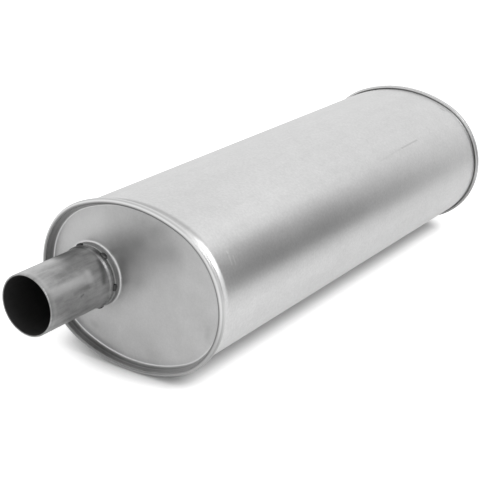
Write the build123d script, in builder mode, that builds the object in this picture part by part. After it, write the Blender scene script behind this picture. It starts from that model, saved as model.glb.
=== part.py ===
from build123d import *
import os
from math import atan2, degrees

# Reverse-flow oval muffler. X runs along it from the inlet to the outlet, Y across it and Z up.
# The origin is on the ground under the middle of its whole length. It rests on its two rims.

# Body, measured over the outer skin
shell_width = 175.0
shell_height = 138.0
side_radius = 64.0
body_length = 470.0
wrap_gauge = 0.8
fit_gap = 0.1

# Rolled rims that lock the heads to the shell, and the recess inside them, which narrows inwards
head_gauge = 1.0
rim_height = 2.9
rim_length = 5.2
rim_inner_radius = 1.2
rim_outer_radius = 2.4
hook_radius = 1.4
hook_gap = 0.5
recess_depth = 8.0
recess_taper = 2.2
recess_radius = 1.2

# Groove that the rolling leaves in the outer wrap behind each rim, measured from the rim's plane
seat_length = 3.0
seat_radius = 1.2
groove_station = 6.8
groove_depth = 0.7
groove_radius = 2.5
groove_length = 10.2
plain_start_gap = 16.0
shoulder_radius = 30.0

# Seam of the outer wrap, along the underside
seam_width = 8.0
seam_height = 1.5
seam_radius = 0.6

# Necks and the collars of the heads that hold them
neck_diameter = 50.8
neck_gauge = 1.5
neck_offset = 40.5
inlet_reach = 71.0
outlet_reach = 38.0
neck_tail = 30.0
neck_lip_radius = 0.5
collar_height = 6.2
collar_radius = 1.8
bead_width = 6.0
bead_height = 1.1
bead_crest = 1.6
bead_radius = 3.0

# Tack welds between each collar and its neck
tack_count = 6
tack_radius = 2.1
tack_first_angle = 5.5

# Chambers: distance of each baffle from the nearer rim, and of the middle one from the front rim
end_chamber = 85.0
middle_station = 250.0
baffle_gauge = 1.2
baffle_flange = 12.0
baffle_corner = 3.0
baffle_collar = 6.0
drain_radius = 4.0

# Tubes inside
tube_gauge = 1.2
socket_length = 24.0
socket_cone = 6.0
return_diameter = 44.4
return_height = 38.0
tuning_diameter = 25.4
tuning_drop = 36.0
tuning_length = 90.0
tube_overhang = 14.0

# Louvres of the tubes
louvre_width = 12.0
louvre_length = 8.0
louvre_rise = 2.0
louvre_pitch = 24.0
louvres_round = 6
louvre_margin = 30.0

# Stations and heights that follow from them
overall_length = inlet_reach + body_length + outlet_reach
front_rim_x = inlet_reach - overall_length / 2
rear_rim_x = front_rim_x + body_length
middle_x = (front_rim_x + rear_rim_x) / 2
axis_height = shell_height / 2 + rim_height
half_width = shell_width / 2
half_height = shell_height / 2
neck_radius = neck_diameter / 2
return_radius = return_diameter / 2
tuning_radius = tuning_diameter / 2
face_x = front_rim_x + recess_depth
plain_start = front_rim_x + plain_start_gap
plain_length = body_length - 2 * plain_start_gap

# Centres, radii and angle of the four arcs that make the oval
side_centre = half_width - side_radius
cap_radius = (side_centre**2 + half_height**2 - side_radius**2) / (2 * (half_height - side_radius))
cap_centre = cap_radius - half_height
side_angle = degrees(atan2(cap_centre, side_centre))
cap_angle = 180 - 2 * side_angle

# How far each layer lies outside (+) or inside (-) the outer skin
inner_wrap_out = -(wrap_gauge + fit_gap)
inner_wrap_in = inner_wrap_out - wrap_gauge
insert_out = inner_wrap_in - fit_gap
lip_out = rim_height - head_gauge - fit_gap
lip_in = lip_out - wrap_gauge
seat_out = lip_in - fit_gap
seat_in = seat_out - wrap_gauge
rim_wall = seat_in - fit_gap - head_gauge
recess_wall = rim_wall - recess_taper
plate_lap = recess_wall - 3 * recess_radius
lip_length = rim_length - rim_outer_radius - hook_radius

axial_plane = Plane.XY.offset(axis_height)
neck_axis = Axis((0, neck_offset, axis_height), (1, 0, 0))
half_turn = Location((2 * middle_x, 0, 0), (0, 0, 180))


def station(x):
    """Plane across the muffler at x, centred on its axis, with +Y to the right and +Z up."""
    return Plane(origin=(x, 0, axis_height), x_dir=(0, 1, 0), z_dir=(1, 0, 0))


def oval(grow):
    """The body's four-arc section, with its outline moved out from the outer skin by grow."""
    with BuildSketch() as section:
        with BuildLine():
            CenterArc((side_centre, 0), side_radius + grow, -side_angle, 2 * side_angle)
            CenterArc((0, -cap_centre), cap_radius + grow, side_angle, cap_angle)
            CenterArc((-side_centre, 0), side_radius + grow, 180 - side_angle, 2 * side_angle)
            CenterArc((0, cap_centre), cap_radius + grow, 180 + side_angle, cap_angle)
        make_face()
    return section.sketch


def wrap_end_section():
    """Sheet of the outer wrap at its front: turned out under the rim, folded back, grooved behind it."""
    start_x = front_rim_x + rim_outer_radius
    with BuildSketch() as section:
        with BuildLine():
            FilletPolyline(
                (start_x, half_width + seat_out),
                (front_rim_x + seat_length, half_width + seat_out),
                (front_rim_x + groove_station, half_width - groove_depth),
                (front_rim_x + groove_length, half_width),
                (plain_start, half_width),
                radius=[seat_radius, groove_radius, shoulder_radius],
            )
            offset(amount=wrap_gauge, side=Side.RIGHT)
        make_face()
        with Locations((start_x, half_width + seat_in)):
            Rectangle(wrap_gauge, lip_out - seat_in, align=(Align.MIN, Align.MIN))
        with Locations((start_x, half_width + lip_in)):
            Rectangle(lip_length, wrap_gauge, align=(Align.MIN, Align.MIN))
    return section.sketch


def rim_section():
    """Sheet of a head from its face, up the recess wall, over the rim and into the hook at its edge."""
    rim_y = half_width + rim_height
    with BuildSketch() as section:
        with BuildLine():
            FilletPolyline(
                (face_x, half_width + plate_lap),
                (face_x, half_width + recess_wall),
                (front_rim_x, half_width + rim_wall),
                (front_rim_x, rim_y),
                (front_rim_x + rim_length, rim_y),
                (front_rim_x + rim_length, half_width + hook_gap),
                radius=[recess_radius, rim_inner_radius, rim_outer_radius, hook_radius],
            )
            offset(amount=head_gauge, side=Side.RIGHT)
        make_face()
    return section.sketch


def collar_section():
    """Sheet of a head round its neck hole, turned outwards along the neck."""
    collar_y = neck_offset + neck_radius + fit_gap + head_gauge
    with BuildSketch() as section:
        with BuildLine():
            FilletPolyline(
                (face_x, neck_offset + collar_hole),
                (face_x, collar_y),
                (face_x - collar_height, collar_y),
                radius=collar_radius,
            )
            offset(amount=head_gauge, side=Side.LEFT)
        make_face()
    return section.sketch


def neck_section(reach):
    """Wall of a neck pipe from its mouth to its tail, with the bead that seats on the collar."""
    bead_end = face_x - collar_height
    bead_start = bead_end - bead_width
    bead_middle = (bead_start + bead_end) / 2
    outer = neck_offset + neck_radius
    with BuildSketch() as section:
        with BuildLine():
            FilletPolyline(
                (front_rim_x - reach, outer),
                (bead_start, outer),
                (bead_middle - bead_crest / 2, outer + bead_height),
                (bead_middle + bead_crest / 2, outer + bead_height),
                (bead_end, outer),
                (face_x + neck_tail, outer),
                radius=bead_radius,
            )
            offset(amount=neck_gauge, side=Side.RIGHT)
        make_face()
        fillet(section.vertices().group_by(Axis.X)[0], radius=neck_lip_radius)
    return section.sketch


def socket_tube_section(end_x):
    """Wall of a tube that sockets over a neck's tail, narrows and runs on to end_x."""
    tail_x = face_x + neck_tail
    socket_y = neck_offset + neck_radius + fit_gap + tube_gauge
    tube_y = neck_offset + neck_radius
    with BuildSketch() as section:
        with BuildLine():
            Polyline(
                (tail_x - socket_length, socket_y),
                (tail_x + fit_gap, socket_y),
                (tail_x + socket_cone, tube_y),
                (end_x, tube_y),
            )
            offset(amount=tube_gauge, side=Side.RIGHT)
        make_face()
    return section.sketch


def louvre_rows(start_x, end_x):
    """Stations of the louvres between two baffles, evenly pitched about the middle of the chamber."""
    count = int((end_x - start_x - 2 * louvre_margin) // louvre_pitch) + 1
    first = (start_x + end_x - (count - 1) * louvre_pitch - louvre_length) / 2
    return [first + i * louvre_pitch for i in range(count)]


def louvre_ramp(inset):
    """Side view of a louvre, rising along the tube from its skin, or of the window inside it."""
    root_x = -2 * tube_gauge
    with BuildSketch() as section:
        with BuildLine():
            Polyline(
                (root_x, 0),
                (-inset, 0),
                (louvre_rise - inset, louvre_length),
                (root_x, louvre_length),
                close=True,
            )
        make_face()
    return section.sketch


def louvred(tube, place, rows):
    """The tube with a ring of louvres raised and cut at each row."""
    centre, radius = place
    with BuildPart() as louvred_tube:
        add(tube)
        with Locations(*[station(x) for x in rows]):
            with Locations(centre):
                with PolarLocations(radius, louvres_round):
                    add(louvre_hood.part)
                    add(louvre_window.part, mode=Mode.SUBTRACT)
    return louvred_tube.part


def baffle_blank(x, places):
    """Oval plate across the body at x, its rim and the collar of each tube turned to +X."""
    with BuildPart() as blank:
        with BuildSketch(station(x)):
            add(oval(insert_out))
        extrude(amount=baffle_flange)
        fillet(blank.edges().group_by(Axis.X)[0], radius=baffle_corner)
        offset(amount=-baffle_gauge, openings=blank.faces().sort_by(Axis.X)[-1])
        for centre, radius in places:
            with BuildSketch(station(x)):
                with Locations(centre):
                    Circle(radius + fit_gap + baffle_gauge)
            extrude(amount=baffle_collar)
            with BuildSketch(station(x)):
                with Locations(centre):
                    Circle(radius + fit_gap)
            extrude(amount=baffle_collar, mode=Mode.SUBTRACT)
        with BuildSketch(station(x)):
            with Locations((0, -drain_drop)):
                Circle(drain_radius)
        extrude(amount=baffle_gauge, mode=Mode.SUBTRACT)
    return blank.part


# Hole of a head before its edge is turned out, and drop of a baffle's drain below the axis
collar_hole = neck_radius + fit_gap + head_gauge + 2 * collar_radius
drain_drop = half_height + insert_out - baffle_corner - drain_radius

# Baffle stations, from the front
front_baffle_x = front_rim_x + end_chamber
middle_baffle_x = front_rim_x + middle_station
rear_baffle_x = rear_rim_x - end_chamber
front_rows = louvre_rows(front_baffle_x, middle_baffle_x)
rear_rows = louvre_rows(middle_baffle_x, rear_baffle_x)

# Centres of the tubes in a station's plane, with their outer radii
inlet_place = ((neck_offset, 0), neck_radius)
outlet_place = ((-neck_offset, 0), neck_radius)
return_place = ((0, return_height), return_radius)
tuning_place = ((0, -tuning_drop), tuning_radius)

os.makedirs("parts", exist_ok=True)


# Line round the four-arc oval that the wrap's and the heads' sections are swept along
with BuildLine(station(front_rim_x)) as rim_path:
    CenterArc((side_centre, 0), side_radius, 0, side_angle)
    CenterArc((0, -cap_centre), cap_radius, side_angle, cap_angle)
    CenterArc((-side_centre, 0), side_radius, 180 - side_angle, 2 * side_angle)
    CenterArc((0, cap_centre), cap_radius, 180 + side_angle, cap_angle)
    CenterArc((side_centre, 0), side_radius, -side_angle, side_angle)


# End of the outer wrap, as far as the sheet isn't plain
with BuildPart() as wrap_end:
    with BuildSketch(axial_plane) as wrap_start:
        add(wrap_end_section())
    sweep(sections=wrap_start.sketch, path=rim_path.wire())


# Outer wrap: a tube of sheet locked into the rims at its ends, with a folded seam underneath
with BuildPart() as outer_shell:
    with BuildSketch(station(plain_start)):
        add(oval(0))
        with Locations((0, -half_height)):
            RectangleRounded(seam_width, 2 * seam_height, seam_radius)
        add(oval(-wrap_gauge), mode=Mode.SUBTRACT)
    extrude(amount=plain_length)
    add(wrap_end.part)
    with Locations(half_turn):
        add(wrap_end.part)
outer_shell.part.label = "outer_shell"
export_step(outer_shell.part, "parts/outer_shell.step")


# Inner wrap: a plain tube of sheet inside the outer one
with BuildPart() as inner_shell:
    with BuildSketch(station(plain_start)):
        add(oval(inner_wrap_out))
        add(oval(inner_wrap_in), mode=Mode.SUBTRACT)
    extrude(amount=plain_length)
inner_shell.part.label = "inner_shell"
export_step(inner_shell.part, "parts/inner_shell.step")


# Front head: a dished pressing, rolled over the ends of the shell, with a collar for the inlet neck
with BuildPart() as front_head:
    with BuildSketch(station(face_x)):
        add(oval(plate_lap))
        with Locations(inlet_place[0]):
            Circle(collar_hole, mode=Mode.SUBTRACT)
    extrude(amount=head_gauge)
    with BuildSketch(axial_plane):
        add(collar_section())
    revolve(axis=neck_axis)
    with BuildSketch(axial_plane) as rim_start:
        add(rim_section())
    sweep(sections=rim_start.sketch, path=rim_path.wire())
front_head.part.label = "front_head"
export_step(front_head.part, "parts/front_head.step")


# Rear head: the same pressing turned about, so that its neck is on the other side
with BuildPart() as rear_head:
    with Locations(half_turn):
        add(front_head.part)
rear_head.part.label = "rear_head"
export_step(rear_head.part, "parts/rear_head.step")


# Inlet neck: a bare pipe through the front head's collar
with BuildPart() as inlet_neck:
    with BuildSketch(axial_plane):
        add(neck_section(inlet_reach))
    revolve(axis=neck_axis)
inlet_neck.part.label = "inlet_neck"
export_step(inlet_neck.part, "parts/inlet_neck.step")


# Outlet neck: the same, with a shorter reach, made in the front head's place and turned about
with BuildPart() as outlet_neck_blank:
    with BuildSketch(axial_plane):
        add(neck_section(outlet_reach))
    revolve(axis=neck_axis)
with BuildPart() as outlet_neck:
    with Locations(half_turn):
        add(outlet_neck_blank.part)
outlet_neck.part.label = "outlet_neck"
export_step(outlet_neck.part, "parts/outlet_neck.step")


# One louvre, a hood over a window, lying on X = 0: X is outwards, Y across and Z along the tube
with BuildPart() as louvre_hood:
    with BuildSketch(Plane.XZ.offset(-louvre_width / 2)):
        add(louvre_ramp(0))
    extrude(amount=louvre_width)
with BuildPart() as louvre_window:
    with BuildSketch(Plane.XZ.offset(-louvre_width / 2 + tube_gauge)):
        add(louvre_ramp(tube_gauge))
    extrude(amount=louvre_width - 2 * tube_gauge)


# Blank of the two long tubes: sockets over a neck's tail and ends beyond the far baffle
with BuildPart() as long_tube:
    with BuildSketch(axial_plane):
        add(socket_tube_section(rear_baffle_x + tube_overhang))
    revolve(axis=neck_axis)


# Inlet tube: carries the gas to the rear chamber, louvred into both middle ones
with BuildPart() as inlet_tube:
    add(louvred(long_tube.part, inlet_place, front_rows + rear_rows))
inlet_tube.part.label = "inlet_tube"
export_step(inlet_tube.part, "parts/inlet_tube.step")


# Outlet tube: from the front chamber to the outlet neck
with BuildPart() as outlet_tube:
    add(louvred(long_tube.part.moved(half_turn), outlet_place, front_rows))
outlet_tube.part.label = "outlet_tube"
export_step(outlet_tube.part, "parts/outlet_tube.step")


# Return tube: from the rear chamber back to the front one
with BuildPart() as plain_tube:
    return_start = front_baffle_x - tube_overhang
    with BuildSketch(station(return_start)):
        with Locations(return_place[0]):
            Circle(return_radius)
            Circle(return_radius - tube_gauge, mode=Mode.SUBTRACT)
    extrude(amount=rear_baffle_x + tube_overhang - return_start)
with BuildPart() as return_tube:
    add(louvred(plain_tube.part, return_place, front_rows))
return_tube.part.label = "return_tube"
export_step(return_tube.part, "parts/return_tube.step")


# Tuning tube: joins the two middle chambers through the middle baffle
with BuildPart() as tuning_tube:
    with BuildSketch(station(middle_baffle_x - tuning_length / 2)):
        with Locations(tuning_place[0]):
            Circle(tuning_radius)
            Circle(tuning_radius - tube_gauge, mode=Mode.SUBTRACT)
    extrude(amount=tuning_length)
tuning_tube.part.label = "tuning_tube"
export_step(tuning_tube.part, "parts/tuning_tube.step")


# Baffles: each carries its tubes in collars turned to +X
with BuildPart() as front_baffle:
    add(baffle_blank(front_baffle_x, [inlet_place, outlet_place, return_place]))
front_baffle.part.label = "front_baffle"
export_step(front_baffle.part, "parts/front_baffle.step")

with BuildPart() as middle_baffle:
    add(baffle_blank(middle_baffle_x, [inlet_place, outlet_place, return_place, tuning_place]))
middle_baffle.part.label = "middle_baffle"
export_step(middle_baffle.part, "parts/middle_baffle.step")

with BuildPart() as rear_baffle:
    add(baffle_blank(rear_baffle_x, [inlet_place, outlet_place, return_place]))
rear_baffle.part.label = "rear_baffle"
export_step(rear_baffle.part, "parts/rear_baffle.step")


# Tack welds: small beads across the edge of each collar, clear of the metal that they join
with BuildPart() as inlet_tack_welds:
    with Locations(station(face_x - collar_height)):
        with Locations(inlet_place[0]):
            with PolarLocations(neck_radius + fit_gap + head_gauge / 2, tack_count, tack_first_angle):
                Sphere(tack_radius)
            Cylinder(neck_radius - neck_gauge / 2, 4 * tack_radius, mode=Mode.SUBTRACT)
    add(inlet_neck.part, mode=Mode.SUBTRACT)
    add(front_head.part, mode=Mode.SUBTRACT)
inlet_tack_welds.part.label = "inlet_tack_welds"
export_step(inlet_tack_welds.part, "parts/inlet_tack_welds.step")

with BuildPart() as outlet_tack_welds:
    with Locations(half_turn):
        add(inlet_tack_welds.part)
outlet_tack_welds.part.label = "outlet_tack_welds"
export_step(outlet_tack_welds.part, "parts/outlet_tack_welds.step")
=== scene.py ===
from math import cos, pi, radians, sin, tan

import bpy
from mathutils import Matrix, Vector


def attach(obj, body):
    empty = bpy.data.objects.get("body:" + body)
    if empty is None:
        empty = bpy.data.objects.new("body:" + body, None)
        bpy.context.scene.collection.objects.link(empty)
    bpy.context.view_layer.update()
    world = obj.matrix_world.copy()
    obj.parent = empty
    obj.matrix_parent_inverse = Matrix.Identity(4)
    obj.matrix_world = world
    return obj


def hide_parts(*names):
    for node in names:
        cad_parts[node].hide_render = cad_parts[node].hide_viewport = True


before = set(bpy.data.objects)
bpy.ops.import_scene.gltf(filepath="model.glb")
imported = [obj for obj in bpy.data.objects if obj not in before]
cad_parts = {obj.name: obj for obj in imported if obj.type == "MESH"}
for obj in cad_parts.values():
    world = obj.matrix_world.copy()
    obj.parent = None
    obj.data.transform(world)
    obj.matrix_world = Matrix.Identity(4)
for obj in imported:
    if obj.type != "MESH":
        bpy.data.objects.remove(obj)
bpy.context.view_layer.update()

# Camera, fitted to the picture, in the part's frame
camera_place = Vector((-0.90543, -0.55855, 0.45712))
camera_azimuth = radians(-56.528)
camera_elevation = radians(21.179)
camera_roll = radians(1.596)
camera_lens = 91.88
camera_sensor = 36.0

# Light levels, the lamp and the dark card beside the object
backdrop_level = 1.0
surround_level = 0.75
key_power = 11.25
key_place = (-0.1, -1.05, 1.2)
key_target = (0, 0, 0.07)
key_size = (1.0, 0.7)
floor_colour = 0.86
floor_seen_colour = 0.744
floor_far_glow = 0.6
floor_mirror_glow = 0.085
flag_level = 0.038
flag_corners = [(-0.01, -0.38, 0.003), (0.55, -0.38, 0.003), (0.68, -0.52, 0.64), (0.06, -0.54, 0.80)]

# Where the object's shadow on the floor fades into white, in metres
shadow_centre_y = 0.014
shadow_side = 0.053
shadow_end = -0.008
shadow_fade = 0.033
shadow_rounding = 3.7

# Stations and centres on the part, in metres
front_rim_x = -0.2185
rear_rim_x = 0.2515
face_x = -0.2105
collar_edge_x = -0.2167
inlet_mouth_x = -0.2895
outlet_mouth_x = 0.2895
collar_foot = 0.0275
collar_wall = 0.0265
inlet_y = 0.0405
axis_z = 0.0719
middle_x = 0.0165
half_body = (rear_rim_x - front_rim_x) / 2
outlet_collar_x = 2 * middle_x - collar_edge_x

# The body's outline: two side arcs and two cap arcs, in metres, and the side arcs' half angle
side_centre = 0.0235
side_radius = 0.064
cap_centre = 0.052725
cap_radius = 0.121725
side_angle = radians(65.977)

# A head's section: how far each form, and each painted highlight or shade on it, lies outward of the outline,
# or behind the rim's front, in metres
corner_out = -0.0036
roll_out = -0.0003
crest_out = 0.0017
band_out = 0.0020
dip_depth = 0.0014
lighter_line_depth = 0.0036
wall_depth = 0.0040
hook_depth = 0.0045
floor_depth = 0.0058

# Forms on the skin behind the front rim and before the rear one, and the middles of the painted shade there,
# from the rims' faces, in metres
swell_foot = 0.0065
swell_top = 0.0135
rim_shade_middle = 0.0117
groove_foot = 0.0066
groove_top = 0.0112
gap_shade_middle = 0.0054

# Heights between which the painted shade behind the front rim sets in on top of the body, in metres
rim_shade_foot_z = axis_z + 0.044
rim_shade_full_z = axis_z + 0.056

# Levels of the metals
skin_level = 0.656
skin_roughness = 0.41
head_level = 0.536
head_roughness = 0.36
pipe_level = 0.355
pipe_roughness = 0.34
# The rim's lit top, and its painted, shaded bottom
rim_lit_level = 0.656
rim_shaded_level = 0.448

# Swell that the shading adds behind the front rim, and the fill of the rear groove, in millimetres
front_swell = 1.0
rear_fill = 0.7

# Marks on the skin: start, run, half width, level and share
skin_marks = [
    ((0.1164, -0.0654, 0.1203), (0.0330, 0.0004, 0.0003), 0.0013, 0.336, 0.42),
    ((0.0714, -0.0670, 0.1190), (0.0450, 0.0016, 0.0013), 0.0016, 0.44, 0.2),
    ((0.2356, -0.0241, 0.1385), (0.0019, -0.0250, -0.0079), 0.0012, 0.44, 0.3),
    ((0.2365, -0.0480, 0.1308), (0.0010, -0.0040, -0.0016), 0.0020, 0.32, 0.45),
    ((-0.1892, -0.0735, 0.1119), (0.0004, -0.0004, -0.0006), 0.0017, 0.8, 1.0),
    ((-0.1894, -0.0755, 0.1092), (-0.0010, -0.0036, -0.0056), 0.0016, 0.8, 0.8),
    ((-0.1850, -0.0765, 0.1080), (-0.0012, -0.0034, -0.0056), 0.0014, 0.8, 0.7),
]

# Painted light and shade on the front face: a lighter patch at its upper left and painted shade right of the
# neck; and two small stains
face_light_shade_and_stains = [
    ((face_x, 0.0600, 0.0960), (0.0, -0.0200, 0.0140), 0.0260, 0.80, 0.30),
    ((face_x, -0.0712, 0.0479), (0.0, -0.0010, 0.0070), 0.0045, 0.30, 0.20),
    ((face_x, 0.0400, 0.0264), (0.0, 0.0040, 0.0010), 0.0045, 0.30, 0.25),
    ((face_x, 0.0130, 0.0900), (0.0, -0.0150, 0.0180), 0.0150, 0.272, 0.36),
    ((face_x, 0.0060, 0.0980), (0.0, -0.0300, 0.0130), 0.0240, 0.32, 0.25),
    ((face_x, 0.0110, 0.0760), (0.0, 0.0010, 0.0120), 0.0090, 0.192, 0.34),
]

# Stains near the collar on the inlet neck, darker streaks along it, and lighter patches and bands on its top
# and lit side that are painted highlights
neck_stains_and_highlights = [
    ((-0.2430, 0.0500, 0.0955), (0.0200, -0.0050, 0.0012), 0.0095, 0.096, 0.8),
    ((-0.2237, 0.0234, 0.0906), (-0.0045, -0.0072, -0.0130), 0.0050, 0.096, 0.75),
    ((-0.2420, 0.0190, 0.0800), (0.0010, 0.0016, 0.0070), 0.0056, 0.76, 0.60),
    ((-0.2820, 0.0190, 0.0855), (0.0380, 0.0000, 0.0000), 0.0066, 0.68, 0.55),
    ((-0.2840, 0.0430, 0.0972), (0.0260, 0.0010, 0.0000), 0.0100, 0.64, 0.38),
    ((-0.2190, 0.0300, 0.0950), (0.0010, -0.0030, -0.0020), 0.0060, 0.04, 0.90),
    ((-0.2700, 0.0270, 0.0930), (0.0160, 0.0010, 0.0006), 0.0032, 0.16, 0.35),
    ((-0.2620, 0.0160, 0.0790), (0.0200, 0.0000, 0.0006), 0.0030, 0.16, 0.30),
    ((-0.2560, 0.0152, 0.0745), (0.0030, 0.0000, 0.0006), 0.0016, 0.08, 0.50),
]


def link(tree, source, target):
    """Join a socket, or set a plain value, on an input socket."""
    if isinstance(source, bpy.types.NodeSocket):
        tree.links.new(source, target)
    else:
        target.default_value = source


def calculate(tree, operation, *values, clamp=False):
    node = tree.nodes.new("ShaderNodeMath")
    node.operation = operation
    node.use_clamp = clamp
    for value, target in zip(values, node.inputs):
        link(tree, value, target)
    return node.outputs[0]


def remap(tree, value, from_low, from_high, to_low, to_high, smooth=False):
    node = tree.nodes.new("ShaderNodeMapRange")
    node.interpolation_type = "SMOOTHSTEP" if smooth else "LINEAR"
    for name, setting in (
        ("Value", value), ("From Min", from_low), ("From Max", from_high),
        ("To Min", to_low), ("To Max", to_high),
    ):
        link(tree, setting, node.inputs[name])
    return node.outputs["Result"]


def noise(tree, vector, scale, detail, roughness):
    node = tree.nodes.new("ShaderNodeTexNoise")
    link(tree, vector, node.inputs["Vector"])
    link(tree, scale, node.inputs["Scale"])
    link(tree, detail, node.inputs["Detail"])
    link(tree, roughness, node.inputs["Roughness"])
    return node.outputs["Fac"]


def new_group(name, inputs, outputs):
    """A shader node group with its sockets, and its input and output nodes."""
    tree = bpy.data.node_groups.new(name, "ShaderNodeTree")
    for socket, kind, value in inputs:
        item = tree.interface.new_socket(socket, in_out="INPUT", socket_type=kind)
        if value is not None:
            item.default_value = value
    for socket, kind in outputs:
        tree.interface.new_socket(socket, in_out="OUTPUT", socket_type=kind)
    return tree, tree.nodes.new("NodeGroupInput").outputs, tree.nodes.new("NodeGroupOutput").inputs


def use_group(tree, group, **values):
    """Place a group in a tree. Underscores in the names stand for spaces."""
    node = tree.nodes.new("ShaderNodeGroup")
    node.node_tree = group
    for name, value in values.items():
        link(tree, value, node.inputs[name.replace("_", " ")])
    return node.outputs


FLOAT = "NodeSocketFloat"
VECTOR = "NodeSocketVector"


def make_sheet_grain():
    """Fine, even speckle of coated sheet: a tone about one and a height."""
    tree, given, wanted = new_group(
        "sheet_grain",
        [("Vector", VECTOR, None), ("Scale", FLOAT, 900.0), ("Amount", FLOAT, 0.05)],
        [("Tone", FLOAT), ("Height", FLOAT)],
    )
    fine = noise(tree, given["Vector"], given["Scale"], 3.0, 0.6)
    high = calculate(tree, "ADD", 1.0, given["Amount"])
    low = calculate(tree, "SUBTRACT", 1.0, given["Amount"])
    link(tree, remap(tree, fine, 0.3, 0.7, low, high), wanted["Tone"])
    link(tree, fine, wanted["Height"])
    return tree


def make_cloudy_tone():
    """Broad soft blotches, stretched by the vector that comes in: a tone about one."""
    tree, given, wanted = new_group(
        "cloudy_tone",
        [
            ("Vector", VECTOR, None), ("Scale", FLOAT, 20.0), ("Amount", FLOAT, 0.05),
            ("Stretch", VECTOR, (1, 1, 1)),
        ],
        [("Tone", FLOAT)],
    )
    stretch = tree.nodes.new("ShaderNodeVectorMath")
    stretch.operation = "MULTIPLY"
    link(tree, given["Vector"], stretch.inputs[0])
    link(tree, given["Stretch"], stretch.inputs[1])
    cloud = noise(tree, stretch.outputs[0], given["Scale"], 3.0, 0.55)
    high = calculate(tree, "ADD", 1.0, given["Amount"])
    low = calculate(tree, "SUBTRACT", 1.0, given["Amount"])
    link(tree, remap(tree, cloud, 0.3, 0.7, low, high), wanted["Tone"])
    return tree


def make_soft_band():
    """One where a value lies near the band's middle, falling smoothly to zero at its half width."""
    tree, given, wanted = new_group(
        "soft_band",
        [("Value", FLOAT, 0.0), ("Middle", FLOAT, 0.0), ("Half Width", FLOAT, 0.01)],
        [("Mask", FLOAT)],
    )
    away = calculate(tree, "ABSOLUTE", calculate(tree, "SUBTRACT", given["Value"], given["Middle"]))
    link(tree, remap(tree, away, 0.0, given["Half Width"], 1.0, 0.0, smooth=True), wanted["Mask"])
    return tree


def make_scratch():
    """One along a line between two places, falling to zero at its half width."""
    tree, given, wanted = new_group(
        "scratch",
        [
            ("Vector", VECTOR, None), ("From", VECTOR, (0, 0, 0)), ("Along", VECTOR, (0.01, 0, 0)),
            ("Width", FLOAT, 0.001),
        ],
        [("Mask", FLOAT)],
    )

    def vector_math(operation, a, b=None):
        node = tree.nodes.new("ShaderNodeVectorMath")
        node.operation = operation
        link(tree, a, node.inputs[0])
        if b is not None:
            link(tree, b, node.inputs[1])
        return node.outputs["Value"] if operation in ("DOT_PRODUCT", "LENGTH") else node.outputs["Vector"]

    offset = vector_math("SUBTRACT", given["Vector"], given["From"])
    share = calculate(
        tree, "DIVIDE", vector_math("DOT_PRODUCT", offset, given["Along"]),
        vector_math("DOT_PRODUCT", given["Along"], given["Along"]), clamp=True,
    )
    nearest = tree.nodes.new("ShaderNodeVectorMath")
    nearest.operation = "SCALE"
    link(tree, given["Along"], nearest.inputs[0])
    link(tree, share, nearest.inputs["Scale"])
    gap = vector_math("LENGTH", vector_math("SUBTRACT", offset, nearest.outputs["Vector"]))
    link(tree, remap(tree, gap, 0.0, given["Width"], 1.0, 0.0, smooth=True), wanted["Mask"])
    return tree


def make_oval_place():
    """Distance outward from the body's outline, in any plane across its length."""
    tree, given, wanted = new_group("oval_place", [("Vector", VECTOR, None)], [("Outward", FLOAT)])
    parts = tree.nodes.new("ShaderNodeSeparateXYZ")
    link(tree, given["Vector"], parts.inputs[0])
    y = calculate(tree, "ABSOLUTE", parts.outputs["Y"])
    z = calculate(tree, "ABSOLUTE", calculate(tree, "SUBTRACT", parts.outputs["Z"], axis_z))
    across = calculate(tree, "SUBTRACT", y, side_centre)

    def length(a, b):
        squares = calculate(tree, "ADD", calculate(tree, "MULTIPLY", a, a), calculate(tree, "MULTIPLY", b, b))
        return calculate(tree, "SQRT", squares)

    side = calculate(tree, "SUBTRACT", length(across, z), side_radius)
    cap = calculate(tree, "SUBTRACT", length(y, calculate(tree, "ADD", z, cap_centre)), cap_radius)
    on_side = calculate(tree, "LESS_THAN", z, calculate(tree, "MULTIPLY", across, tan(side_angle)))
    step = calculate(tree, "MULTIPLY", on_side, calculate(tree, "SUBTRACT", side, cap))
    link(tree, calculate(tree, "ADD", cap, step), wanted["Outward"])
    return tree


def make_pipe_place():
    """Distance from a pipe's axis and a vector unrolled round it, for a pipe along X."""
    tree, given, wanted = new_group(
        "pipe_place",
        [("Vector", VECTOR, None), ("Centre Y", FLOAT, 0.0), ("Centre Z", FLOAT, 0.0)],
        [("Radius", FLOAT), ("Along", FLOAT), ("Unrolled", VECTOR)],
    )
    parts = tree.nodes.new("ShaderNodeSeparateXYZ")
    link(tree, given["Vector"], parts.inputs[0])
    y = calculate(tree, "SUBTRACT", parts.outputs["Y"], given["Centre Y"])
    z = calculate(tree, "SUBTRACT", parts.outputs["Z"], given["Centre Z"])
    squares = calculate(tree, "ADD", calculate(tree, "MULTIPLY", y, y), calculate(tree, "MULTIPLY", z, z))
    radius = calculate(tree, "SQRT", squares)
    joined = tree.nodes.new("ShaderNodeCombineXYZ")
    link(tree, parts.outputs["X"], joined.inputs["X"])
    link(tree, calculate(tree, "DIVIDE", y, radius), joined.inputs["Y"])
    link(tree, calculate(tree, "DIVIDE", z, radius), joined.inputs["Z"])
    link(tree, radius, wanted["Radius"])
    link(tree, parts.outputs["X"], wanted["Along"])
    link(tree, joined.outputs["Vector"], wanted["Unrolled"])
    return tree


sheet_grain = make_sheet_grain()
cloudy_tone = make_cloudy_tone()
soft_band = make_soft_band()
scratch = make_scratch()
oval_place = make_oval_place()
pipe_place = make_pipe_place()


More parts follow.
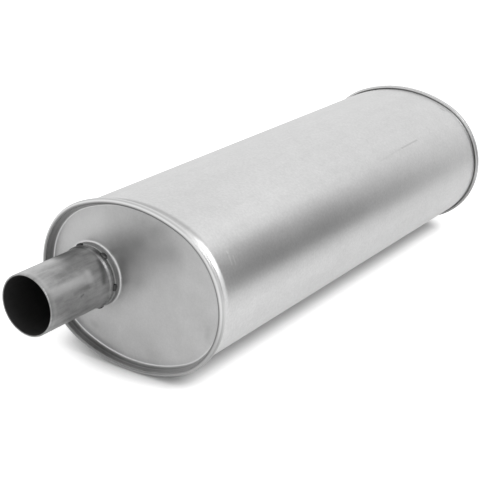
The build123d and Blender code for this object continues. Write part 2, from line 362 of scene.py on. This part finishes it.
def new_material(name):
    """A metal material with its tree, its shader and its object coordinates."""
    material = bpy.data.materials.new(name)
    material.use_nodes = True
    tree = material.node_tree
    tree.nodes.clear()
    output = tree.nodes.new("ShaderNodeOutputMaterial")
    shader = tree.nodes.new("ShaderNodeBsdfPrincipled")
    shader.inputs["Metallic"].default_value = 1.0
    place = tree.nodes.new("ShaderNodeTexCoord")
    tree.links.new(shader.outputs["BSDF"], output.inputs["Surface"])
    return material, tree, shader, place.outputs["Object"]


def tinted(tree, colour, tone):
    """A colour times a tone."""
    node = tree.nodes.new("ShaderNodeMix")
    node.data_type = "RGBA"
    node.blend_type = "MULTIPLY"
    node.inputs["Factor"].default_value = 1.0
    link(tree, colour, node.inputs["A"])
    link(tree, tone, node.inputs["B"])
    return node.outputs["Result"]


def blended(tree, share, first, second):
    """The first colour, going over to the second one by the share."""
    node = tree.nodes.new("ShaderNodeMix")
    node.data_type = "RGBA"
    link(tree, share, node.inputs["Factor"])
    link(tree, first, node.inputs["A"])
    link(tree, second, node.inputs["B"])
    return node.outputs["Result"]


def band(tree, value, middle, half_width):
    """The soft band's mask."""
    return use_group(tree, soft_band, Value=value, Middle=middle, Half_Width=half_width)["Mask"]


def product(tree, *tones):
    result = tones[0]
    for tone in tones[1:]:
        result = calculate(tree, "MULTIPLY", result, tone)
    return result


def raise_bump(tree, shader, height, depth, strength, before=None):
    """Bump the shader by a height, on top of an earlier bump where one is given."""
    node = tree.nodes.new("ShaderNodeBump")
    node.inputs["Strength"].default_value = strength
    node.inputs["Distance"].default_value = depth
    link(tree, height, node.inputs["Height"])
    if before is not None:
        link(tree, before, node.inputs["Normal"])
    link(tree, node.outputs["Normal"], shader.inputs["Normal"])
    return node.outputs["Normal"]


def grey(level):
    return (level, level, level, 1.0)


def overlay(tree, colour, mask, share, level):
    """A colour with a grey laid over it where the mask is."""
    return blended(tree, calculate(tree, "MULTIPLY", mask, share), colour, grey(level))


def add_marks(tree, place, colour, marks):
    """Lay marks over a colour, each along its own line."""
    for start, along, width, level, share in marks:
        mask = use_group(tree, scratch, Vector=place, From=start, Along=along, Width=width)["Mask"]
        colour = overlay(tree, colour, mask, share, level)
    return colour


def make_skin():
    """Aluminised sheet of the body: drawn lengthwise, a little cloudy, with a few light marks, and painted
    shade behind the front rim on top and in the rear rim's gap.
    """
    material, tree, shader, place = new_material("aluminised_skin")
    fine = use_group(tree, sheet_grain, Vector=place, Scale=460.0, Amount=0.06)
    drawn = use_group(tree, cloudy_tone, Vector=place, Scale=90.0, Amount=0.02, Stretch=(0.06, 1.0, 1.0))
    broad = use_group(tree, cloudy_tone, Vector=place, Scale=14.0, Amount=0.03, Stretch=(0.5, 1.0, 1.0))
    mottle = use_group(tree, cloudy_tone, Vector=place, Scale=75.0, Amount=0.022)
    tone = product(tree, fine["Tone"], drawn["Tone"], broad["Tone"], mottle["Tone"])
    parts = tree.nodes.new("ShaderNodeSeparateXYZ")
    link(tree, place, parts.inputs[0])
    x, z = parts.outputs["X"], parts.outputs["Z"]
    # Painted shade on top of the body, just behind the front rim
    high = remap(tree, z, rim_shade_foot_z, rim_shade_full_z, 0.0, 1.0, smooth=True)
    behind = band(tree, x, front_rim_x + rim_shade_middle, 0.0045)
    rim_shade = calculate(tree, "MULTIPLY", behind, high)
    colour = tinted(tree, grey(skin_level), tone)
    colour = overlay(tree, colour, rim_shade, 0.6, 0.32)
    # Painted shade on the skin in the gap under the rear rim's fold
    gap = band(tree, x, rear_rim_x - gap_shade_middle, 0.0006)
    colour = overlay(tree, colour, gap, 0.9, 0.048)
    colour = add_marks(tree, place, colour, skin_marks)
    link(tree, colour, shader.inputs["Base Color"])
    rough = remap(tree, broad["Tone"], 0.97, 1.03, skin_roughness - 0.03, skin_roughness + 0.03)
    link(tree, rough, shader.inputs["Roughness"])
    swell = remap(tree, x, front_rim_x + swell_foot, front_rim_x + swell_top, 0.0, front_swell, smooth=True)
    sunk = remap(tree, x, rear_rim_x - groove_top, rear_rim_x - groove_foot, 0.0, rear_fill)
    waves = noise(tree, place, 16.0, 1.0, 0.4)
    first = raise_bump(tree, shader, calculate(tree, "ADD", swell, sunk), 0.001, 1.0)
    second = raise_bump(tree, shader, waves, 0.0012, 0.35, before=first)
    raise_bump(tree, shader, fine["Height"], 0.0001, 0.2, before=second)
    return material


def make_head():
    """Aluminised pressing of the heads: darker than the skin and cloudy, with painted highlights and painted
    shade on its rim, recess, face and collar.
    """
    material, tree, shader, place = new_material("aluminised_head")
    fine = use_group(tree, sheet_grain, Vector=place, Scale=600.0, Amount=0.04)
    cloud = use_group(tree, cloudy_tone, Vector=place, Scale=42.0, Amount=0.075)
    broad = use_group(tree, cloudy_tone, Vector=place, Scale=11.0, Amount=0.04)
    tone = product(tree, fine["Tone"], cloud["Tone"], broad["Tone"])
    outward = use_group(tree, oval_place, Vector=place)["Outward"]
    parts = tree.nodes.new("ShaderNodeSeparateXYZ")
    link(tree, place, parts.inputs[0])
    reach = calculate(tree, "ABSOLUTE", calculate(tree, "SUBTRACT", parts.outputs["X"], middle_x))
    depth = calculate(tree, "SUBTRACT", half_body, reach)
    low = remap(tree, parts.outputs["Z"], axis_z - 0.02, axis_z - 0.05, 0.0, 1.0, smooth=True)
    corner_highlight = calculate(
        tree, "MULTIPLY",
        band(tree, outward, corner_out, 0.0012),
        remap(tree, depth, floor_depth, floor_depth + 0.0012, 0.0, 1.0),
    )
    wall_shade = band(tree, depth, wall_depth, 0.0040)
    wall_shade = calculate(tree, "MULTIPLY", wall_shade, remap(tree, outward, -0.0012, -0.0006, 1.0, 0.0))
    lighter_line = band(tree, depth, lighter_line_depth, 0.0013)
    wall_shade = product(tree, wall_shade, remap(tree, low, 0.0, 1.0, 0.25, 0.7), remap(tree, lighter_line, 0.0, 1.0, 1.0, 0.2))
    roll_shade = band(tree, outward, roll_out, 0.0015)
    crest_highlight = band(tree, outward, crest_out, 0.0010)
    past = remap(tree, outward, band_out, band_out + 0.0005, 0.0, 1.0)
    dip_shade = band(tree, depth, dip_depth, 0.0016)
    hook_shade = product(
        tree, remap(tree, depth, hook_depth, hook_depth + 0.0005, 0.0, 1.0),
        remap(tree, outward, 0.0014, 0.0008, 0.0, 1.0), remap(tree, outward, -0.0004, 0.0002, 0.0, 1.0),
    )
    rim = remap(tree, outward, -0.0002, 0.0012, 0.0, 1.0)
    lit_top = remap(tree, parts.outputs["Z"], axis_z - 0.03, axis_z + 0.012, 0.0, 1.0, smooth=True)
    colour = tinted(tree, grey(head_level), tone)
    shoulder = calculate(
        tree, "MULTIPLY",
        band(tree, parts.outputs["Z"], axis_z + 0.042, 0.018),
        remap(tree, parts.outputs["Y"], -0.02, -0.04, 0.0, 1.0),
    )
    # The rim painted lighter on top and darker below, as light falls on it
    rim_lit_and_shaded = blended(tree, lit_top, grey(rim_shaded_level), grey(rim_lit_level))
    colour = blended(tree, calculate(tree, "MULTIPLY", rim, 0.9), colour, rim_lit_and_shaded)
    # Painted highlight along the rim's crest, on top only
    colour = blended(tree, product(tree, crest_highlight, lit_top, 0.75), colour, grey(0.8))
    # Painted shade in the dip on the rim's outer band, strongest high on the side facing -Y
    dip_shade = product(tree, dip_shade, past, remap(tree, shoulder, 0.0, 1.0, 0.25, 0.92))
    colour = blended(tree, dip_shade, colour, grey(0.112))
    # Painted shade along the rim's inner roll
    colour = overlay(tree, colour, roll_shade, 0.8, 0.16)
    # Painted shade on the recess wall, darker towards the bottom and lighter along a line round its middle
    colour = blended(tree, wall_shade, colour, grey(0.16))
    # Painted shade on the end of the rim's fold, in its gap
    colour = overlay(tree, colour, hook_shade, 0.5, 0.08)
    # Painted highlight in the corner where the recess wall meets the face
    colour = overlay(tree, colour, corner_highlight, 0.8, 0.8)
    colour = add_marks(tree, place, colour, face_light_shade_and_stains)
    turned = tree.nodes.new("ShaderNodeCombineXYZ")
    side = remap(tree, parts.outputs["X"], -0.1, 0.1, 1.0, -1.0)
    link(tree, calculate(tree, "SUBTRACT", middle_x, reach), turned.inputs["X"])
    link(tree, calculate(tree, "MULTIPLY", parts.outputs["Y"], side), turned.inputs["Y"])
    link(tree, parts.outputs["Z"], turned.inputs["Z"])
    neck = use_group(tree, pipe_place, Vector=turned.outputs["Vector"], Centre_Y=inlet_y, Centre_Z=axis_z)
    # Painted highlight round the collar's foot, on top only
    collar_highlight = band(tree, neck["Radius"], collar_foot, 0.0022)
    collar_highlight = calculate(tree, "MULTIPLY", collar_highlight, lit_top)
    colour = overlay(tree, colour, collar_highlight, 0.85, 0.8)
    # Painted shade on the collar's wall
    collar_shade = band(tree, neck["Radius"], collar_wall, 0.0009)
    past_edge = remap(tree, neck["Along"], collar_edge_x + 0.0004, collar_edge_x + 0.001, 0.0, 1.0)
    collar_shade = calculate(tree, "MULTIPLY", collar_shade, past_edge)
    colour = overlay(tree, colour, collar_shade, 0.75, 0.16)
    around = band(tree, neck["Radius"], collar_foot, 0.022)
    link(tree, colour, shader.inputs["Base Color"])
    rough = remap(tree, cloud["Tone"], 0.95, 1.05, head_roughness - 0.04, head_roughness + 0.04)
    rough = calculate(tree, "ADD", rough, calculate(tree, "MULTIPLY", around, 0.14))
    link(tree, rough, shader.inputs["Roughness"])
    swell = calculate(tree, "MULTIPLY", remap(tree, depth, 0.0020, 0.0052, 0.0, 0.55), past)
    start = raise_bump(tree, shader, swell, 0.001, 1.0)
    waves = noise(tree, place, 22.0, 1.0, 0.4)
    first = raise_bump(tree, shader, waves, 0.0008, 0.3, before=start)
    raise_bump(tree, shader, fine["Height"], 0.0001, 0.2, before=first)
    return material


def make_pipe(name, y, mouth_x, collar_x, marks):
    """Bare steel of a neck: streaked lengthwise, stained in bands near the collar, with a painted highlight
    band just behind its mouth.
    """
    material, tree, shader, place = new_material(name)
    pipe = use_group(tree, pipe_place, Vector=place, Centre_Y=y, Centre_Z=axis_z)
    round_pipe = pipe["Unrolled"]
    inward = 1.0 if collar_x > mouth_x else -1.0
    fine = use_group(tree, sheet_grain, Vector=place, Scale=800.0, Amount=0.06)
    streaks = use_group(tree, cloudy_tone, Vector=round_pipe, Scale=7.0, Amount=0.16, Stretch=(5.0, 1.0, 1.0))
    blots = use_group(tree, cloudy_tone, Vector=round_pipe, Scale=2.6, Amount=0.22, Stretch=(22.0, 1.0, 1.0))
    stain = band(tree, pipe["Along"], collar_x, 0.012)
    # Painted highlight band just behind the mouth
    lip_highlight_x = mouth_x + inward * 0.004
    lip_highlight = band(tree, pipe["Along"], lip_highlight_x, 0.003)
    inside = remap(tree, pipe["Radius"], 0.0240, 0.0246, 1.0, 0.0)
    tone = product(tree, fine["Tone"], streaks["Tone"], blots["Tone"])
    colour = tinted(tree, grey(pipe_level), tone)
    colour = overlay(tree, colour, stain, 0.35, 0.112)
    colour = add_marks(tree, place, colour, marks)
    colour = overlay(tree, colour, lip_highlight, 0.3, 0.56)
    colour = overlay(tree, colour, inside, 0.95, 0.06)
    link(tree, colour, shader.inputs["Base Color"])
    rough = remap(tree, blots["Tone"], 0.8, 1.2, pipe_roughness + 0.08, pipe_roughness - 0.04)
    rough = calculate(tree, "ADD", rough, calculate(tree, "MULTIPLY", inside, 0.35))
    link(tree, rough, shader.inputs["Roughness"])
    first = raise_bump(tree, shader, streaks["Tone"], 0.0004, 0.3)
    raise_bump(tree, shader, fine["Height"], 0.0001, 0.2, before=first)
    return material


def make_weld():
    """Dark scale of the tack welds, with a few brighter crests."""
    material, tree, shader, place = new_material("weld_bead")
    fine = use_group(tree, sheet_grain, Vector=place, Scale=1500.0, Amount=0.3)
    cloud = use_group(tree, cloudy_tone, Vector=place, Scale=300.0, Amount=0.35)
    colour = tinted(tree, grey(0.08), product(tree, fine["Tone"], cloud["Tone"]))
    link(tree, colour, shader.inputs["Base Color"])
    link(tree, remap(tree, cloud["Tone"], 0.65, 1.35, 0.62, 0.4), shader.inputs["Roughness"])
    raise_bump(tree, shader, fine["Height"], 0.0002, 0.5)
    return material


def make_inner():
    """Plain aluminised sheet of the parts inside."""
    material, tree, shader, place = new_material("inner_sheet")
    fine = use_group(tree, sheet_grain, Vector=place, Scale=700.0, Amount=0.05)
    broad = use_group(tree, cloudy_tone, Vector=place, Scale=30.0, Amount=0.08)
    colour = tinted(tree, grey(0.4), product(tree, fine["Tone"], broad["Tone"]))
    link(tree, colour, shader.inputs["Base Color"])
    link(tree, remap(tree, broad["Tone"], 0.92, 1.08, 0.38, 0.5), shader.inputs["Roughness"])
    raise_bump(tree, shader, fine["Height"], 0.0001, 0.3)
    return material


def set_material(node, material):
    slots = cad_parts[node].data.materials
    slots.clear()
    slots.append(material)


skin = make_skin()
head = make_head()
weld = make_weld()
inner = make_inner()
inlet_pipe = make_pipe("inlet_pipe", inlet_y, inlet_mouth_x, collar_edge_x, neck_stains_and_highlights)
outlet_pipe = make_pipe("outlet_pipe", -inlet_y, outlet_mouth_x, outlet_collar_x, [])
dress = {
    "outer_shell": skin, "front_head": head, "rear_head": head, "inlet_neck": inlet_pipe,
    "outlet_neck": outlet_pipe, "inlet_tack_welds": weld, "outlet_tack_welds": weld,
}
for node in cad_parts:
    set_material(node, dress.get(node, inner))


def make_bead_ring():
    """Geometry nodes: a ring of tack beads round the X axis, each a flattened, rippled drop."""
    tree = bpy.data.node_groups.new("tack_bead_ring", "GeometryNodeTree")
    face = tree.interface
    face.new_socket("Geometry", in_out="INPUT", socket_type="NodeSocketGeometry")
    for name, kind, value in (
        ("Count", "NodeSocketInt", 6), ("Ring Radius", FLOAT, 0.026), ("First Angle", FLOAT, 0.0),
        ("Bead Length", FLOAT, 0.005), ("Bead Width", FLOAT, 0.004), ("Bead Height", FLOAT, 0.0015),
        ("Ripple", FLOAT, 0.0003), ("Seed", "NodeSocketInt", 3), ("Material", "NodeSocketMaterial", None),
    ):
        item = face.new_socket(name, in_out="INPUT", socket_type=kind)
        if value is not None:
            item.default_value = value
    face.new_socket("Geometry", in_out="OUTPUT", socket_type="NodeSocketGeometry")
    nodes, links = tree.nodes, tree.links
    given = nodes.new("NodeGroupInput").outputs
    wanted = nodes.new("NodeGroupOutput").inputs

    def add(kind, settings=None, **sockets):
        node = nodes.new(kind)
        for name, value in (settings or {}).items():
            setattr(node, name, value)
        for name, value in sockets.items():
            link(tree, value, node.inputs[name.replace("_", " ")])
        return node

    def sums(operation, *values):
        node = add("ShaderNodeMath", {"operation": operation})
        for value, target in zip(values, node.inputs):
            link(tree, value, target)
        return node.outputs[0]

    index = add("GeometryNodeInputIndex").outputs[0]
    points = add("GeometryNodePoints", Count=given["Count"])
    spread = add("FunctionNodeRandomValue", {"data_type": "FLOAT"}, Seed=given["Seed"], ID=index)
    spread.inputs[2].default_value = -0.05
    spread.inputs[3].default_value = 0.05
    step = sums("DIVIDE", 2 * pi, given["Count"])
    angle = sums("ADD", sums("ADD", given["First Angle"], sums("MULTIPLY", index, step)), spread.outputs[1])
    spot = add("ShaderNodeCombineXYZ")
    link(tree, sums("MULTIPLY", given["Ring Radius"], sums("COSINE", angle)), spot.inputs["Y"])
    link(tree, sums("MULTIPLY", given["Ring Radius"], sums("SINE", angle)), spot.inputs["Z"])
    placed = add("GeometryNodeSetPosition", Geometry=points.outputs[0], Position=spot.outputs[0])
    turn = add("ShaderNodeCombineXYZ")
    link(tree, angle, turn.inputs["X"])
    ball = add("GeometryNodeMeshUVSphere", Segments=28, Rings=16, Radius=1.0)
    size = add("ShaderNodeCombineXYZ")
    link(tree, sums("DIVIDE", given["Bead Width"], 2.0), size.inputs["X"])
    link(tree, given["Bead Height"], size.inputs["Y"])
    link(tree, sums("DIVIDE", given["Bead Length"], 2.0), size.inputs["Z"])
    drop = add("GeometryNodeTransform", Geometry=ball.outputs["Mesh"], Scale=size.outputs[0])
    beads = add("GeometryNodeInstanceOnPoints", Points=placed.outputs[0], Instance=drop.outputs[0],
                Rotation=turn.outputs[0])
    whole = add("GeometryNodeRealizeInstances", Geometry=beads.outputs[0])
    lumps = add("ShaderNodeTexNoise", {"noise_dimensions": "4D"}, Scale=900.0, Detail=1.0)
    link(tree, sums("MULTIPLY", given["Seed"], 1.0), lumps.inputs["W"])
    lift = sums("MULTIPLY", sums("SUBTRACT", lumps.outputs["Fac"], 0.5), given["Ripple"])
    out = add("ShaderNodeVectorMath", {"operation": "SCALE"})
    link(tree, add("GeometryNodeInputNormal").outputs[0], out.inputs[0])
    link(tree, sums("MULTIPLY", lift, 2.0), out.inputs["Scale"])
    rippled = add("GeometryNodeSetPosition", Geometry=whole.outputs[0], Offset=out.outputs["Vector"])
    smooth = add("GeometryNodeSetShadeSmooth", Geometry=rippled.outputs[0])
    dressed = add("GeometryNodeSetMaterial", Geometry=smooth.outputs[0], Material=given["Material"])
    links.new(dressed.outputs[0], wanted["Geometry"])
    return tree


def make_beads(name, tree, centre, half_turned, node):
    """A ring of beads as a plain mesh with its places written in, standing for the node's tacks."""
    host = bpy.data.objects.new(name + "_host", bpy.data.meshes.new(name + "_host"))
    bpy.context.scene.collection.objects.link(host)
    modifier = host.modifiers.new("beads", "NODES")
    modifier.node_group = tree
    values = {
        "Count": 6, "Ring Radius": 0.0262, "First Angle": radians(5.5), "Bead Length": 0.0066,
        "Bead Width": 0.0050, "Bead Height": 0.0016, "Ripple": 0.0004, "Seed": 5, "Material": weld,
    }
    for item in tree.interface.items_tree:
        if item.in_out == "INPUT" and item.name in values:
            modifier[item.identifier] = values[item.name]
    bpy.context.view_layer.update()
    evaluated = host.evaluated_get(bpy.context.evaluated_depsgraph_get())
    mesh = bpy.data.meshes.new_from_object(evaluated)
    mesh.name = name
    host.modifiers.remove(modifier)
    bpy.data.objects.remove(host)
    turn = Matrix.Rotation(pi if half_turned else 0.0, 4, "Z")
    mesh.transform(Matrix.Translation(centre) @ turn)
    beads = bpy.data.objects.new(name, mesh)
    bpy.context.scene.collection.objects.link(beads)
    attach(beads, "root")
    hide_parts(node)


bead_ring = make_bead_ring()
make_beads("inlet_beads", bead_ring, Vector((collar_edge_x, inlet_y, axis_z)), False, "inlet_tack_welds")
make_beads("outlet_beads", bead_ring, Vector((outlet_collar_x, -inlet_y, axis_z)), True, "outlet_tack_welds")


def largest(tree, *values):
    result = values[0]
    for value in values[1:]:
        result = calculate(tree, "MAXIMUM", result, value)
    return result


def make_floor():
    """A pale floor. The camera sees it white, with the object's shadow near its foot."""
    bpy.ops.mesh.primitive_plane_add(size=30, location=(0, 0, 0))
    floor = bpy.context.object
    floor.name = "floor"
    material = bpy.data.materials.new("pale_floor")
    material.use_nodes = True
    tree = material.node_tree
    tree.nodes.clear()
    path = tree.nodes.new("ShaderNodeLightPath").outputs

    def diffuse(level):
        node = tree.nodes.new("ShaderNodeBsdfDiffuse")
        node.inputs["Color"].default_value = grey(level)
        return node.outputs[0]

    def glow(level):
        node = tree.nodes.new("ShaderNodeEmission")
        link(tree, level, node.inputs["Strength"])
        return node.outputs[0]

    def both(first, second):
        node = tree.nodes.new("ShaderNodeAddShader")
        tree.links.new(first, node.inputs[0])
        tree.links.new(second, node.inputs[1])
        return node.outputs[0]

    def either(share, first, second):
        node = tree.nodes.new("ShaderNodeMixShader")
        tree.links.new(share, node.inputs["Fac"])
        tree.links.new(first, node.inputs[1])
        tree.links.new(second, node.inputs[2])
        return node.outputs[0]

    plain = diffuse(floor_colour)
    mirrored = both(plain, glow(floor_mirror_glow))
    place = tree.nodes.new("ShaderNodeTexCoord").outputs["Object"]
    parts = tree.nodes.new("ShaderNodeSeparateXYZ")
    link(tree, place, parts.inputs[0])

    def apart(value, centre):
        return calculate(tree, "ABSOLUTE", calculate(tree, "SUBTRACT", value, centre))

    def beyond(distance, edge):
        return remap(tree, distance, edge, edge + shadow_fade, 1.0, 0.0, smooth=True)

    across = apart(parts.outputs["Y"], shadow_centre_y)
    rounding = product(tree, parts.outputs["Y"], parts.outputs["Y"], shadow_rounding)
    along = calculate(tree, "ADD", apart(parts.outputs["X"], middle_x), rounding)
    near = calculate(tree, "MULTIPLY", beyond(across, shadow_side), beyond(along, half_body + shadow_end))
    # The floor glows more the farther it lies from the object's foot: a painted fade that bounds the shadow
    clear = remap(tree, near, 0.0, 1.0, floor_far_glow, 0.0)
    seen = both(diffuse(floor_seen_colour), glow(clear))
    surface = either(path["Is Glossy Ray"], plain, mirrored)
    surface = either(largest(tree, path["Is Camera Ray"], path["Is Transmission Ray"]), surface, seen)
    output = tree.nodes.new("ShaderNodeOutputMaterial")
    tree.links.new(surface, output.inputs["Surface"])
    floor.data.materials.append(material)


def make_backdrop():
    world = bpy.data.worlds.new("studio")
    bpy.context.scene.world = world
    world.use_nodes = True
    tree = world.node_tree
    tree.nodes.clear()
    path = tree.nodes.new("ShaderNodeLightPath").outputs
    seen = largest(tree, path["Is Camera Ray"], path["Is Glossy Ray"], path["Is Transmission Ray"])
    background = tree.nodes.new("ShaderNodeBackground")
    background.inputs["Color"].default_value = grey(1.0)
    link(tree, remap(tree, seen, 0.0, 1.0, surround_level, backdrop_level), background.inputs["Strength"])
    output = tree.nodes.new("ShaderNodeOutputWorld")
    tree.links.new(background.outputs[0], output.inputs["Surface"])


def area_light(name, place, target, size, power):
    data = bpy.data.lights.new(name, "AREA")
    data.shape = "RECTANGLE"
    data.size, data.size_y = size
    data.energy = power
    light = bpy.data.objects.new(name, data)
    light.location = place
    light.rotation_euler = (Vector(target) - Vector(place)).to_track_quat("-Z", "Y").to_euler()
    bpy.context.scene.collection.objects.link(light)


def make_flag(name, corners):
    """A dark card beside the object. Only reflections show it."""
    mesh = bpy.data.meshes.new(name)
    mesh.from_pydata(corners, [], [(0, 1, 2, 3)])
    flag = bpy.data.objects.new(name, mesh)
    bpy.context.scene.collection.objects.link(flag)
    material = bpy.data.materials.new("black_card")
    material.use_nodes = True
    tree = material.node_tree
    tree.nodes.clear()
    card = tree.nodes.new("ShaderNodeEmission")
    card.inputs["Strength"].default_value = flag_level
    output = tree.nodes.new("ShaderNodeOutputMaterial")
    tree.links.new(card.outputs[0], output.inputs["Surface"])
    mesh.materials.append(material)
    for ray in ("camera", "diffuse", "transmission", "volume_scatter", "shadow"):
        setattr(flag, "visible_" + ray, False)


def make_camera():
    data = bpy.data.cameras.new("camera")
    data.sensor_width = camera_sensor
    data.lens = camera_lens
    data.clip_end = 50
    camera = bpy.data.objects.new("camera", data)
    bpy.context.scene.collection.objects.link(camera)
    back = Vector((
        sin(camera_azimuth) * cos(camera_elevation),
        -cos(camera_azimuth) * cos(camera_elevation),
        sin(camera_elevation),
    ))
    level_right = Vector((cos(camera_azimuth), sin(camera_azimuth), 0))
    level_up = back.cross(level_right)
    right = level_right * cos(camera_roll) + level_up * sin(camera_roll)
    up = level_up * cos(camera_roll) - level_right * sin(camera_roll)
    camera.matrix_world = Matrix.Translation(camera_place) @ Matrix((right, up, back)).transposed().to_4x4()
    bpy.context.scene.camera = camera


bpy.context.scene.view_settings.view_transform = "Standard"
make_floor()
make_backdrop()
area_light("key", key_place, key_target, key_size, key_power)
make_flag("side_flag", flag_corners)
make_camera()
